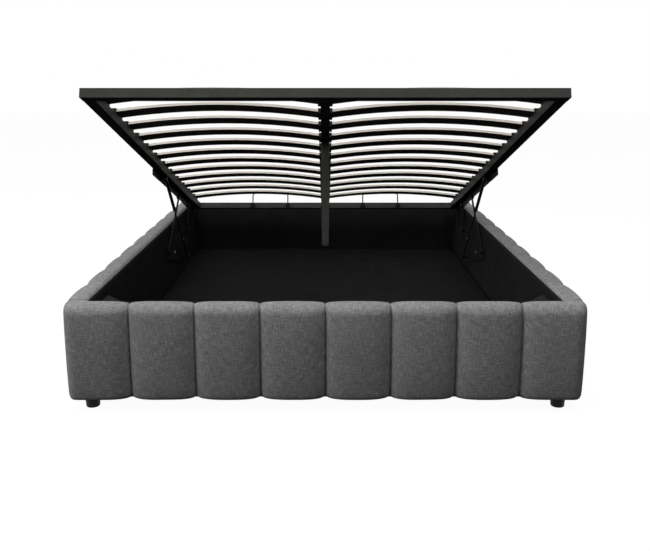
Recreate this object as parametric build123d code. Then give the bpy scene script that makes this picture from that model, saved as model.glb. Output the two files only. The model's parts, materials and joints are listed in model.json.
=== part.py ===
from build123d import *
import math
import os

# Ottoman storage bed, drawn with its slatted platform lifted at the foot end.
# Millimetres. X runs to the right seen from the foot end, Y towards the head end, Z up.
# The origin is on the floor, under the middle of the upholstered box.

# Mattress space and the box around it
mattress_width = 1350
mattress_length = 1900
mattress_end_slack = 5
box_top = 320
foot_height = 35
pad_thickness = 42
board_thickness = 18
lining_thickness = 2
cap_thickness = 20
head_top = 280
head_pad_thickness = 12
head_pad_inset = 15
head_pad_edge_radius = 5

# Upholstered channels
foot_channel_count = 8
side_channel_count = 10
valley_depth = 13
valley_dip = 7
edge_radius = 17
inner_edge_radius = 7
face_crown = 3
channel_fullness = 2.6
channel_section_shares = (0, 0.05, 0.18, 0.5, 0.82, 0.95, 1)

# Storage floor
ledger_width = 22
ledger_height = 10
cross_bar_width = 40
cross_bar_shares = (0.25, 0.5, 0.75)
floor_panel_thickness = 4
floor_panel_gap = 1
floor_cloth_thickness = 1.5
floor_cloth_margin = 1

# Feet
foot_top_radius = 22
foot_bottom_radius = 19.5
foot_edge_radius = 3
foot_side_inset = 60
foot_end_inset = 61
centre_foot_radius = 17

# Corner brackets and their bolts
bracket_leg = 50
bracket_thickness = 3
bracket_bottom = 60
bracket_top = 250
bracket_bolt_offset = 30
bracket_bolt_end_inset = 35
gusset_side_leg = 200
gusset_end_leg = 165
gusset_thickness = 12
gusset_drop = 2
bolt_radius = 4
bolt_head_radius = 7
bolt_head_height = 3.2
bolt_bite = 12
bolt_hole_clearance = 0.3

# Platform frame of steel tube
platform_side_gap = 3
platform_end_gap = 8
platform_back_gap = 9
platform_closed_height = 280
rail_width = 34
rail_height = 27
rail_wall = 1.5
centre_rail_width = 27
plug_depth = 12
plug_lip = 1.5

# Slats and their holders
slat_count = 12
first_slat = 137
last_slat_inset = 159
slat_width = 68
slat_thickness = 8
slat_rise = 24
slat_centre_inset = 8
slat_outer_inset = 20
slat_fit = 0.3
holder_floor = 4
holder_height = 16
holder_wall = 3
holder_outer_margin = 4
holder_reach = 30
centre_holder_reach = 22

# Mattress stops at the head end
stop_rod_radius = 3
stop_width = 178
stop_centre = 280
stop_height = 52
stop_bend_radius = 20
clamp_width = 22
clamp_height = 16
clamp_wall = 3
clamp_fit = 0.05

# Centre leg in three telescoping tubes
leg_place = 543
leg_outer_width = 28
leg_wall = 1.2
leg_outer_length = 211
leg_plate_length = 52
leg_plate_thickness = 3
leg_middle_wall = 1
leg_middle_length = 190
leg_middle_out = 77
leg_middle_closed_out = -3
leg_inner_wall = 1.2
leg_inner_length = 165
leg_inner_out = 50
leg_inner_closed_out = -7
leg_fit = 0.3
leg_tip_width = 22
leg_tip_height = 8
leg_tip_plug = 15

# Lift linkage. Places on the box are measured from the inner face of its head end and from the floor.
# Places on the platform are measured along it from its head end, and below its underside.
arm_pivot_place = 814.9
arm_pivot_height = 216.6
rear_pivot_place = 348.6
rear_pivot_height = 221.6
strut_pivot_place = 469.8
strut_pivot_height = 115
platform_arm_place = 478
platform_arm_drop = 22
platform_rear_place = 227.6
platform_rear_drop = 20
platform_strut_place = 845.8
platform_strut_drop = 15
arm_open_angle = 36.23
platform_open_angle = 18.7

# Thicknesses of the linkage, stacked inwards from the lining
base_plate_thickness = 4
plate_gap = 1
hanger_thickness = 4
arm_thickness = 4
front_arm_width = 18
front_arm_end_radius = 13
rear_arm_width = 20
rear_arm_end_radius = 13
pin_radius = 5
pin_clearance = 0.05
pin_end_gap = 0.3
pin_head_radius = 9
pin_head_height = 3
strut_inset = 9

# Shapes of the linkage plates
base_plate_margin = 25
base_plate_tail = 22
hanger_front = 991
hanger_front_drop = 28
hanger_lobe = 12
hanger_neck_drop = 27
hanger_flange_width = 32
hanger_flange_end = 278
hanger_back_margin = 24
hanger_bolt_places = (953, 648, 328)
fixing_places = (653.7, 444.7, 280.5)
fixing_heights = (178.4, 193.5, 207.4)

# Gas struts
cylinder_radius = 6.5
cylinder_wall = 1
cylinder_guide = 8
cylinder_cap = 4
rod_radius = 3
rod_clearance = 0.05
rod_inside = 16
piston_radius = 5.3
piston_length = 6
eye_radius = 9
eye_thickness = 12
eye_neck = 12
neck_radius = 5
rod_fitting_radius = 5
rod_fitting_length = 26
strut_end_slack = 2
stud_radius = 4
clip_radius = 7
clip_height = 2.5

# One overrun serves all cuts
overrun = 1

# Sizes that follow from those above
wall = pad_thickness + board_thickness + lining_thickness
box_width = mattress_width + 2 * wall
inner_length = mattress_length + mattress_end_slack
head_wall = lining_thickness + board_thickness + head_pad_thickness
box_length = wall + inner_length + head_wall
board_top = box_top - cap_thickness
floor_panel_bottom = foot_height + ledger_height
floor_cloth_bottom = floor_panel_bottom + floor_panel_thickness
floor_top = floor_cloth_bottom + floor_cloth_thickness
inner_half = mattress_width / 2
platform_half = inner_half - platform_side_gap
front_y = -box_length / 2
back_y = box_length / 2
inner_front_y = front_y + wall
inner_back_y = back_y - head_wall
inner_middle_y = (inner_front_y + inner_back_y) / 2
platform_length = inner_length - platform_end_gap - platform_back_gap
slat_pitch = (platform_length - first_slat - last_slat_inset) / (slat_count - 1)
platform_closed_front = wall + platform_end_gap
base_plate_inner = inner_half - base_plate_thickness
hanger_outer = base_plate_inner - plate_gap
hanger_inner = hanger_outer - hanger_thickness
arm_outer = hanger_inner - plate_gap
arm_inner = arm_outer - arm_thickness
pin_head_inner = arm_inner - pin_end_gap - pin_head_height
strut_x = pin_head_inner - strut_inset - plate_gap
slat_bottom = rail_height + holder_floor


def turned(point, angle):
    """A (Y, Z) pair turned about the X axis by an angle in degrees."""
    c = math.cos(math.radians(angle))
    s = math.sin(math.radians(angle))
    return (point[0] * c - point[1] * s, point[0] * s + point[1] * c)


def plus(a, b):
    return (a[0] + b[0], a[1] + b[1])


def minus(a, b):
    return (a[0] - b[0], a[1] - b[1])


def heading(a, b):
    """Angle in degrees of the line from a to b, both (Y, Z) pairs."""
    return math.degrees(math.atan2(b[1] - a[1], b[0] - a[0]))


def along(a, angle, distance):
    r = math.radians(angle)
    return (a[0] + distance * math.cos(r), a[1] + distance * math.sin(r))


# Pivots as (Y, Z) pairs: on the box, on the closed platform and on the lifted one
arm_base = (inner_back_y - arm_pivot_place, arm_pivot_height)
rear_base = (inner_back_y - rear_pivot_place, rear_pivot_height)
strut_base = (inner_back_y - strut_pivot_place, strut_pivot_height)
closed_corner = (front_y + platform_closed_front, platform_closed_height)
arm_on_platform = (platform_length - platform_arm_place, -platform_arm_drop)
rear_on_platform = (platform_length - platform_rear_place, -platform_rear_drop)
strut_on_platform = (platform_length - platform_strut_place, -platform_strut_drop)
arm_top_closed = plus(closed_corner, arm_on_platform)
rear_top_closed = plus(closed_corner, rear_on_platform)
strut_top_closed = plus(closed_corner, strut_on_platform)
arm_length = math.dist(arm_base, arm_top_closed)
arm_top = along(arm_base, arm_open_angle, arm_length)
open_corner = minus(arm_top, turned(arm_on_platform, -platform_open_angle))
rear_top = plus(open_corner, turned(rear_on_platform, -platform_open_angle))
strut_top = plus(open_corner, turned(strut_on_platform, -platform_open_angle))
strut_open_length = math.dist(strut_base, strut_top)
strut_closed_length = math.dist(strut_base, strut_top_closed)
strut_stroke = strut_open_length - strut_closed_length
cylinder_length = eye_neck + cylinder_cap + strut_end_slack + strut_stroke + rod_inside
lifted = Pos(0, open_corner[0], open_corner[1]) * Rot(-platform_open_angle, 0, 0)


def block(x0, x1, y0, y1, z0, z1):
    centre = Pos((x0 + x1) / 2, (y0 + y1) / 2, (z0 + z1) / 2)
    return centre * Box(abs(x1 - x0), abs(y1 - y0), abs(z1 - z0))


def rod_x(radius, x0, x1, place):
    """A round bar along X between x0 and x1, centred on a (Y, Z) pair."""
    centre = Pos((x0 + x1) / 2, place[0], place[1])
    return centre * Rot(0, 90, 0) * Cylinder(radius, abs(x1 - x0))


def rod_y(radius, y0, y1, x, z):
    centre = Pos(x, (y0 + y1) / 2, z)
    return centre * Rot(90, 0, 0) * Cylinder(radius, abs(y1 - y0))


def plate_x(points, x0, x1):
    """A flat plate across X whose outline is a list of (Y, Z) pairs."""
    corners = [Vector(min(x0, x1), p[0], p[1]) for p in points]
    outline = Face(Wire.make_polygon(corners, close=True))
    return extrude(outline, amount=abs(x1 - x0), dir=(1, 0, 0))


def other_end(shape):
    """The same shape at the other end of the storage space."""
    return mirror(shape, about=Plane(origin=(0, inner_middle_y, 0), z_dir=(0, 1, 0)))


def both_sides(maker):
    """The same shape on the right and on the left, as a pair."""
    right = maker()
    return right, mirror(right, about=Plane.YZ)


def save(name, shape):
    solids = shape.solids()
    if len(solids) == 1:
        export_step(solids[0], "parts/" + name + ".step")
    else:
        export_step(Compound(children=list(solids)), "parts/" + name + ".step")


# Upholstered panels


def pillow(share):
    """How far a channel is drawn in at a share of its width: 1 at a valley, 0 at the crown."""
    off = abs(2 * share - 1) ** channel_fullness
    return 1 - max(0, 1 - off) ** (1 / channel_fullness)


def channel_section(s, drawn):
    """Cross-section of the padding at a place s along its panel."""
    face = valley_depth * drawn
    top = box_top - valley_dip * drawn
    bottom = foot_height + valley_dip * drawn
    diagonal = 1 - math.sqrt(0.5)
    low = bottom + edge_radius
    high = top - edge_radius
    start = face + face_crown
    inner = pad_thickness + board_thickness + lining_thickness
    rim = inner - inner_edge_radius
    rows = [
        Line((s, pad_thickness, bottom), (s, start + edge_radius, bottom)),
        ThreePointArc(
            (s, start + edge_radius, bottom),
            (s, start + edge_radius * diagonal, bottom + edge_radius * diagonal),
            (s, start, low),
        ),
        ThreePointArc((s, start, low), (s, face, (low + high) / 2), (s, start, high)),
        ThreePointArc(
            (s, start, high),
            (s, start + edge_radius * diagonal, top - edge_radius * diagonal),
            (s, start + edge_radius, top),
        ),
        Line((s, start + edge_radius, top), (s, rim, top)),
        ThreePointArc(
            (s, rim, top),
            (s, inner - inner_edge_radius * diagonal, top - inner_edge_radius * diagonal),
            (s, inner, top - inner_edge_radius),
        ),
        Line((s, inner, top - inner_edge_radius), (s, inner, board_top)),
        Line((s, inner, board_top), (s, pad_thickness, board_top)),
        Line((s, pad_thickness, board_top), (s, pad_thickness, bottom)),
    ]
    return Face(Wire(rows))


def channel_strip(length, count):
    """A run of padded channels along X from 0, with its outer face towards -Y."""
    pitch = length / count
    sections = [channel_section(share * pitch, pillow(share)) for share in channel_section_shares]
    channel = loft(sections)
    strip = channel
    for i in range(1, count):
        strip = strip + Pos(i * pitch, 0, 0) * channel
    return strip


def foot_upholstery():
    return Pos(-box_width / 2, front_y, 0) * channel_strip(box_width, foot_channel_count)


def head_upholstery():
    """The head end is lower and flat: a thin pad over its board."""
    half = box_width / 2 - head_pad_inset
    pad = block(-half, half, back_y - head_pad_thickness, back_y, foot_height, head_top)
    return fillet(pad.faces().sort_by(Axis.Y)[-1].edges(), head_pad_edge_radius)


def side_upholstery():
    length = box_length - pad_thickness - head_pad_thickness
    strip = channel_strip(length, side_channel_count)
    side = Pos(box_width / 2, front_y + pad_thickness, 0) * Rot(0, 0, 90) * strip
    return side - block(0, box_width, front_y, front_y + wall, board_top, box_top + overrun)


# Boards, linings and the storage floor


def foot_board():
    half = box_width / 2 - pad_thickness
    outer = front_y + pad_thickness
    board = block(-half, half, outer, outer + board_thickness, foot_height, board_top)
    return board - corner_bolt_holes()


def head_board():
    half = inner_half + lining_thickness
    outer = back_y - head_pad_thickness
    board = block(-half, half, outer - board_thickness, outer, foot_height, head_top)
    return board - corner_bolt_holes()


def side_board():
    inner = inner_half + lining_thickness
    start = front_y + pad_thickness + board_thickness
    end = back_y - head_pad_thickness
    board = block(inner, inner + board_thickness, start, end, foot_height, board_top)
    return board - corner_bolt_holes() - fixing_holes()


def foot_lining():
    half = inner_half + lining_thickness
    sheet = block(-half, half, inner_front_y - lining_thickness, inner_front_y, foot_height, board_top)
    return sheet - corner_bolt_holes()


def head_lining():
    half = inner_half + lining_thickness
    sheet = block(-half, half, inner_back_y, inner_back_y + lining_thickness, foot_height, head_top)
    return sheet - corner_bolt_holes()


def side_lining():
    sheet = block(inner_half, inner_half + lining_thickness, inner_front_y, inner_back_y, foot_height, board_top)
    return sheet - corner_bolt_holes() - fixing_holes()


def floor_ledgers():
    top = foot_height + ledger_height
    side = block(inner_half - ledger_width, inner_half, inner_front_y, inner_back_y, foot_height, top)
    inner = inner_half - ledger_width
    end = block(-inner, inner, inner_front_y, inner_front_y + ledger_width, foot_height, top)
    return Compound(children=[side, mirror(side, about=Plane.YZ), end, other_end(end)])


def cross_bar_rows():
    return [inner_front_y + share * inner_length for share in cross_bar_shares]


def floor_cross_bars():
    half = inner_half - ledger_width
    bars = []
    for y in cross_bar_rows():
        y0 = y - cross_bar_width / 2
        bars.append(block(-half, half, y0, y0 + cross_bar_width, foot_height, foot_height + ledger_height))
    return Compound(children=bars)


def centre_feet():
    feet = [Pos(0, y, foot_height / 2) * Cylinder(centre_foot_radius, foot_height) for y in cross_bar_rows()]
    return Compound(children=feet)


def floor_panel():
    """The panel at the foot end; the head end has the same one turned round."""
    top = floor_panel_bottom + floor_panel_thickness
    edge = inner_middle_y - floor_panel_gap / 2
    return block(-inner_half, inner_half, inner_front_y, edge, floor_panel_bottom, top)


def floor_cloth():
    m = floor_cloth_margin
    half = inner_half - m
    return block(-half, half, inner_front_y + m, inner_back_y - m, floor_cloth_bottom, floor_top)


def corner_foot():
    profile = Polyline(
        (0, 0),
        (foot_bottom_radius, 0),
        (foot_top_radius, foot_height),
        (0, foot_height),
        close=True,
    )
    body = revolve(Plane.XZ * make_face(profile), Axis.Z)
    rim = body.edges().sort_by(Axis.Z)[0]
    body = fillet(rim, foot_edge_radius)
    return Pos(box_width / 2 - foot_side_inset, front_y + foot_end_inset, 0) * body


# Corner brackets and bolts


def corner_bracket():
    side = block(inner_half - bracket_thickness, inner_half, inner_front_y, inner_front_y + bracket_leg,
                 bracket_bottom, bracket_top)
    end = block(inner_half - bracket_leg, inner_half, inner_front_y, inner_front_y + bracket_thickness,
                bracket_bottom, bracket_top)
    return side + end - corner_bolt_holes()


def four_corners(shape):
    pair = [shape, mirror(shape, about=Plane.YZ)]
    return pair + [other_end(s) for s in pair]


def bolt_heights():
    return (bracket_bottom + bracket_bolt_end_inset, bracket_top - bracket_bolt_end_inset)


def bolt_along(axis_x, across, z, radius, head_radius):
    """A bolt of the front right corner: through the side wall or through the end wall."""
    bite = lining_thickness + bolt_bite
    if axis_x:
        face = inner_half - bracket_thickness
        place = (across, z)
        shank = rod_x(radius, face, inner_half + bite, place)
        head = rod_x(head_radius, face - bolt_head_height, face, place)
    else:
        face = inner_front_y + bracket_thickness
        shank = rod_y(radius, face, inner_front_y - bite, across, z)
        head = rod_y(head_radius, face, face + bolt_head_height, across, z)
    return shank, head


def corner_bolt_set(radius):
    rows = []
    for z in bolt_heights():
        rows.append(bolt_along(True, inner_front_y + bracket_bolt_offset, z, radius, bolt_head_radius))
        rows.append(bolt_along(False, inner_half - bracket_bolt_offset, z, radius, bolt_head_radius))
    return rows


def corner_bolts():
    bolts = [shank + head for shank, head in corner_bolt_set(bolt_radius)]
    everything = []
    for bolt in bolts:
        everything += four_corners(bolt)
    return Compound(children=everything)


def corner_bolt_holes():
    holes = []
    for shank, head in corner_bolt_set(bolt_radius + bolt_hole_clearance):
        holes += four_corners(shank)
    return holes


def corner_gusset():
    """The triangular plate in a front corner, just under the closed platform."""
    top = platform_closed_height - gusset_drop
    corner = (inner_half, inner_front_y)
    outline = Polyline(
        corner,
        (inner_half, inner_front_y + gusset_side_leg),
        (inner_half - gusset_end_leg, inner_front_y),
        close=True,
    )
    return Pos(0, 0, top - gusset_thickness) * extrude(make_face(outline), amount=gusset_thickness)


# Linkage on the box


def fixing_spots():
    return [(inner_back_y - y, z) for y, z in zip(fixing_places, fixing_heights)]


def fixing_holes():
    reach = inner_half + lining_thickness + bolt_bite
    radius = bolt_radius + bolt_hole_clearance
    return [rod_x(radius, base_plate_inner - overrun, reach, spot) for spot in fixing_spots()]


def base_plate():
    m = base_plate_margin
    last = fixing_spots()[-1]
    outline = [
        (arm_base[0] - m, arm_base[1] - m),
        (strut_base[0] - m, strut_base[1] - base_plate_tail),
        (strut_base[0] + m, strut_base[1] - base_plate_tail),
        (last[0] + m, last[1] - m),
        (last[0] + m, last[1] + m),
        (rear_base[0] - m, rear_base[1] + m),
        (arm_base[0] - m, arm_base[1] + m),
    ]
    plate = plate_x(outline, base_plate_inner, inner_half)
    plate = fillet(plate.edges().filter_by(Axis.X), base_plate_tail / 2)
    return plate - fixing_holes()


def fixing_bolts():
    reach = inner_half + lining_thickness + bolt_bite
    bolts = []
    for spot in fixing_spots():
        shank = rod_x(bolt_radius, base_plate_inner, reach, spot)
        head = rod_x(bolt_head_radius, base_plate_inner - bolt_head_height, base_plate_inner, spot)
        bolts.append(shank + head)
        bolts.append(mirror(shank + head, about=Plane.YZ))
    return Compound(children=bolts)


def pivot_pin(place, back):
    """A shouldered pin through an arm, from the plate at x = back to its inner head."""
    shoulder = arm_outer + pin_end_gap
    head_outer = arm_inner - pin_end_gap
    pin = rod_x(pin_head_radius, shoulder, back, place)
    pin = pin + rod_x(pin_radius, head_outer, shoulder, place)
    return pin + rod_x(pin_head_radius, head_outer - pin_head_height, head_outer, place)


def strut_stud(place, back):
    """The stud that a strut's lower eye turns on, with its clip."""
    near = strut_x + eye_thickness / 2 + pin_end_gap
    far = strut_x - eye_thickness / 2 - pin_end_gap
    stud = rod_x(clip_radius, near, back, place)
    stud = stud + rod_x(stud_radius, far, near, place)
    return stud + rod_x(clip_radius, far - clip_height, far, place)


def base_pins():
    pins = [
        pivot_pin(arm_base, base_plate_inner),
        pivot_pin(rear_base, base_plate_inner),
        strut_stud(strut_base, base_plate_inner),
    ]
    return Compound(children=pins + [mirror(p, about=Plane.YZ) for p in pins])


def flat_arm(a, b, width, end_radius):
    """A flat bar with round ends between two pivots."""
    bar = rod_x(end_radius, arm_inner, arm_outer, a) + rod_x(end_radius, arm_inner, arm_outer, b)
    half = width / 2
    turn = heading(a, b) + 90
    corners = [along(a, turn, half), along(b, turn, half), along(b, turn, -half), along(a, turn, -half)]
    return bar + plate_x(corners, arm_inner, arm_outer)


def front_arm():
    arm = flat_arm(arm_base, arm_top, front_arm_width, front_arm_end_radius)
    for place in (arm_base, arm_top):
        arm = arm - rod_x(pin_radius + pin_clearance, arm_inner - overrun, arm_outer + overrun, place)
    return arm


def rear_arm():
    arm = flat_arm(rear_base, rear_top, rear_arm_width, rear_arm_end_radius)
    arm = arm - rod_x(pin_radius + pin_clearance, arm_inner - overrun, arm_outer + overrun, rear_base)
    head = rod_x(pin_head_radius, arm_inner - pin_head_height, arm_inner, rear_top)
    washer = rod_x(pin_head_radius, arm_outer, hanger_inner - pin_end_gap, rear_top)
    return arm + head + washer


# Gas struts


def strut_frame():
    """Local Z runs up the strut from its lower pivot."""
    angle = heading(strut_base, strut_top)
    return Pos(strut_x, strut_base[0], strut_base[1]) * Rot(angle - 90, 0, 0)


def eye():
    return Rot(0, 90, 0) * Cylinder(eye_radius, eye_thickness)


def stud_bore():
    return Rot(0, 90, 0) * Cylinder(stud_radius + pin_clearance, eye_thickness + 2 * overrun)


def strut_cylinder():
    """The upper half of the strut, with its own stud that reaches towards the hanger's boss."""
    top = strut_open_length
    bottom = top - cylinder_length
    bore_start = bottom + cylinder_guide
    bore_end = top - eye_neck - cylinder_cap
    bore_radius = cylinder_radius - cylinder_wall
    guide_radius = rod_radius + rod_clearance
    profile = Polyline(
        (0, top),
        (neck_radius, top),
        (neck_radius, top - eye_neck),
        (cylinder_radius, top - eye_neck),
        (cylinder_radius, bottom),
        (guide_radius, bottom),
        (guide_radius, bore_start),
        (bore_radius, bore_start),
        (bore_radius, bore_end),
        (0, bore_end),
        close=True,
    )
    cylinder = revolve(Plane.XZ * make_face(profile), Axis.Z)
    stud_length = strut_stud_reach() - strut_x
    stud = Pos(stud_length / 2, 0, top) * Rot(0, 90, 0) * Cylinder(stud_radius, stud_length)
    return cylinder + Pos(0, 0, top) * eye() + stud


def strut_rod():
    """The lower half of the strut: an eye on the base plate's stud, the rod and its piston."""
    top = strut_open_length - cylinder_length + rod_inside
    rod = Pos(0, 0, top / 2) * Cylinder(rod_radius, top)
    piston = Pos(0, 0, top - piston_length / 2) * Cylinder(piston_radius, piston_length)
    fitting = Pos(0, 0, rod_fitting_length / 2) * Cylinder(rod_fitting_radius, rod_fitting_length)
    return rod + piston + fitting + eye() - stud_bore()


def strut_stud_reach():
    """X where the cylinder's stud ends, just short of the hanger's boss."""
    return pin_head_inner - pin_end_gap


# Linkage on the platform, in the platform's own frame


def hanger():
    lobe = hanger_lobe
    front = platform_length - hanger_front
    strut_at = platform_length - platform_strut_place
    arm_at = platform_length - platform_arm_place
    rear_at = platform_length - platform_rear_place
    strut_low = platform_strut_drop + lobe
    arm_low = platform_arm_drop + lobe
    rear_low = platform_rear_drop + lobe
    outline = [
        (front, 0),
        (rear_at + hanger_back_margin, 0),
        (rear_at + hanger_back_margin, -rear_low),
        (rear_at - hanger_back_margin, -rear_low),
        (arm_at + 2 * lobe, -hanger_neck_drop),
        (arm_at + lobe, -arm_low),
        (arm_at - lobe, -arm_low),
        (arm_at - 2 * lobe, -hanger_neck_drop),
        (strut_at + 2 * lobe, -hanger_neck_drop),
        (strut_at + lobe, -strut_low),
        (strut_at - lobe, -strut_low),
        (strut_at - 2 * lobe, -hanger_front_drop),
        (front, -hanger_front_drop),
    ]
    web = plate_x(outline, hanger_inner, hanger_outer)
    flange_inner = hanger_outer - hanger_flange_width
    flange_end = platform_length - hanger_flange_end
    flange = block(flange_inner, hanger_outer, front, flange_end, -hanger_thickness, 0)
    boss = rod_x(clip_radius, pin_head_inner, hanger_inner, strut_on_platform)
    shape = web + flange + boss
    for y in hanger_bolt_spots():
        shape = shape - bolt_hole_up(y)
    return shape


def hanger_bolt_spots():
    return [platform_length - place for place in hanger_bolt_places]


def hanger_bolt_x():
    return hanger_outer - hanger_flange_width / 2 - hanger_thickness


def bolt_hole_up(y):
    depth = hanger_thickness + rail_wall + 2 * overrun
    hole = Cylinder(bolt_radius + bolt_hole_clearance, depth)
    return Pos(hanger_bolt_x(), y, -hanger_thickness - overrun + depth / 2) * hole


def hanger_bolts():
    bolts = []
    for y in hanger_bolt_spots():
        length = hanger_thickness + rail_wall
        shank = Pos(hanger_bolt_x(), y, -hanger_thickness + length / 2) * Cylinder(bolt_radius, length)
        low = -hanger_thickness - bolt_head_height / 2
        head = Pos(hanger_bolt_x(), y, low) * Cylinder(bolt_head_radius, bolt_head_height)
        bolts.append(shank + head)
        bolts.append(mirror(shank + head, about=Plane.YZ))
    return Compound(children=bolts)


def hanger_pins():
    pin = pivot_pin(arm_on_platform, hanger_inner)
    return Compound(children=[pin, mirror(pin, about=Plane.YZ)])


# Platform frame, in its own frame: Y from the foot end, Z up from the underside


def tube_along_x(y0, y1):
    outer = block(-platform_half, platform_half, y0, y1, 0, rail_height)
    w = rail_wall
    bore = block(-platform_half - overrun, platform_half + overrun, y0 + w, y1 - w, w, rail_height - w)
    return outer - bore


def tube_along_y(x0, x1):
    y0 = rail_width
    y1 = platform_length - rail_width
    w = rail_wall
    outer = block(x0, x1, y0, y1, 0, rail_height)
    return outer - block(x0 + w, x1 - w, y0 - overrun, y1 + overrun, w, rail_height - w)


def side_rail():
    rail = tube_along_y(platform_half - rail_width, platform_half)
    for y in hanger_bolt_spots():
        rail = rail - bolt_hole_up(y)
    return rail


def rail_plugs():
    w = rail_wall
    plugs = []
    for y0 in (0, platform_length - rail_width):
        y1 = y0 + rail_width
        start = platform_half - plug_depth
        plug = block(start, platform_half, y0 + w, y1 - w, w, rail_height - w)
        lip = block(platform_half, platform_half + plug_lip, y0, y1, 0, rail_height)
        plug = plug + lip
        plugs.append(plug)
        plugs.append(mirror(plug, about=Plane.YZ))
    return Compound(children=plugs)


# Slats


def slat_rows():
    return [first_slat + i * slat_pitch for i in range(slat_count)]


def bowed_slat(margin):
    """One right-hand slat lying across the foot end, swollen by a margin all round."""
    x0 = slat_centre_inset - margin
    x1 = platform_half - slat_outer_inset + margin
    low = slat_bottom - margin
    high = slat_bottom + slat_thickness + margin
    middle = (x0 + x1) / 2
    half = slat_width / 2 + margin
    under_side = ThreePointArc((x0, 0, low), (middle, 0, low + slat_rise), (x1, 0, low))
    upper_side = ThreePointArc((x1, 0, high), (middle, 0, high + slat_rise), (x0, 0, high))
    outline = Wire([under_side, Line((x1, 0, low), (x1, 0, high)), upper_side, Line((x0, 0, high), (x0, 0, low))])
    return Pos(0, half, 0) * extrude(Face(outline), amount=2 * half, dir=(0, -1, 0))


def slat_set():
    slat = bowed_slat(0)
    return Compound(children=[Pos(0, y, 0) * slat for y in slat_rows()])


def outer_holders():
    half = slat_width / 2 + slat_fit + holder_wall
    outer = platform_half - holder_outer_margin
    top = rail_height + holder_height
    holder = block(outer - holder_reach, outer, -half, half, rail_height, top) - bowed_slat(slat_fit)
    return Compound(children=[Pos(0, y, 0) * holder for y in slat_rows()])


def centre_holders():
    half = slat_width / 2 + slat_fit + holder_wall
    reach = centre_holder_reach
    holder = block(-reach, reach, -half, half, rail_height, rail_height + holder_height)
    pocket = bowed_slat(slat_fit)
    holder = holder - pocket - mirror(pocket, about=Plane.YZ)
    return Compound(children=[Pos(0, y, 0) * holder for y in slat_rows()])


# Mattress stops


def stop_y():
    return platform_length - rail_width - stop_rod_radius


def mattress_stop():
    half = stop_width / 2
    top = rail_height + stop_height
    path = FilletPolyline(
        (stop_centre - half, stop_y(), 0),
        (stop_centre - half, stop_y(), top),
        (stop_centre + half, stop_y(), top),
        (stop_centre + half, stop_y(), 0),
        radius=stop_bend_radius,
    )
    start = Plane(origin=path @ 0, z_dir=path % 0)
    return sweep(start * Circle(stop_rod_radius), path=path)


def stop_clamps():
    """Saddles that hold the rods against the inner face of the rear rail."""
    clamps = []
    back = platform_length - rail_width
    for side in (-1, 1):
        x = stop_centre + side * stop_width / 2
        z0 = (rail_height - clamp_height) / 2
        front = stop_y() - stop_rod_radius - clamp_wall
        saddle = block(x - clamp_width / 2, x + clamp_width / 2, front, back, z0, z0 + clamp_height)
        bore = Pos(x, stop_y(), rail_height / 2) * Cylinder(stop_rod_radius + clamp_fit, rail_height)
        saddle = saddle - bore
        for part in saddle.solids():
            clamps.append(part)
            clamps.append(mirror(part, about=Plane.YZ))
    return Compound(children=clamps)


# Centre leg


def square_tube(width, tube_wall, top, bottom):
    half = width / 2
    inner = half - tube_wall
    outer = block(-half, half, leg_place - half, leg_place + half, bottom, top)
    return outer - block(-inner, inner, leg_place - inner, leg_place + inner, bottom - overrun, top + overrun)


def leg_outer_tube():
    half = centre_rail_width / 2
    y0 = leg_place - leg_plate_length / 2
    plate = block(-half, half, y0, y0 + leg_plate_length, -leg_plate_thickness, 0)
    return plate + square_tube(leg_outer_width, leg_wall, -leg_plate_thickness, -leg_outer_length)


def leg_middle_width():
    return leg_outer_width - 2 * leg_wall - 2 * leg_fit


def leg_inner_width():
    return leg_middle_width() - 2 * leg_middle_wall - 2 * leg_fit


def leg_middle_tube():
    bottom = -leg_outer_length - leg_middle_out
    return square_tube(leg_middle_width(), leg_middle_wall, bottom + leg_middle_length, bottom)


def leg_inner_bottom():
    return -leg_outer_length - leg_middle_out - leg_inner_out


def leg_inner_tube():
    bottom = leg_inner_bottom()
    return square_tube(leg_inner_width(), leg_inner_wall, bottom + leg_inner_length, bottom)


def leg_tip():
    half = leg_tip_width / 2
    bottom = leg_inner_bottom()
    pad = block(-half, half, leg_place - half, leg_place + half, bottom - leg_tip_height, bottom)
    stem = leg_inner_width() / 2 - leg_inner_wall
    plug = block(-stem, stem, leg_place - stem, leg_place + stem, bottom, bottom + leg_tip_plug)
    return pad + plug


# Writing the parts


def write_box():
    save("foot_upholstery", foot_upholstery())
    save("head_upholstery", head_upholstery())
    for name, maker in (("upholstery", side_upholstery), ("board", side_board), ("lining", side_lining)):
        right, left = both_sides(maker)
        save("side_" + name + "_right", right)
        save("side_" + name + "_left", left)
    save("foot_board", foot_board())
    save("head_board", head_board())
    save("foot_lining", foot_lining())
    save("head_lining", head_lining())
    save("floor_ledgers", floor_ledgers())
    save("floor_cross_bars", floor_cross_bars())
    save("floor_centre_feet", centre_feet())
    save("floor_panel_foot_end", floor_panel())
    save("floor_panel_head_end", other_end(floor_panel()))
    save("floor_cloth", floor_cloth())
    names = ("front_right", "front_left", "rear_right", "rear_left")
    for name, shape in zip(names, four_corners(corner_foot())):
        save("foot_" + name, shape)
    save("corner_brackets", Compound(children=four_corners(corner_bracket())))
    save("corner_bolts", corner_bolts())
    gusset = corner_gusset()
    save("corner_gussets", Compound(children=[gusset, mirror(gusset, about=Plane.YZ)]))


def write_linkage():
    for name, maker in (("lift_base_plate", base_plate), ("front_arm", front_arm), ("rear_arm", rear_arm)):
        right, left = both_sides(maker)
        save(name + "_right", right)
        save(name + "_left", left)
    save("lift_base_bolts", fixing_bolts())
    save("lift_base_pins", base_pins())
    for name, maker in (("gas_strut_cylinder", strut_cylinder), ("gas_strut_rod", strut_rod)):
        shape = strut_frame() * maker()
        save(name + "_right", shape)
        save(name + "_left", mirror(shape, about=Plane.YZ))


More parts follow.
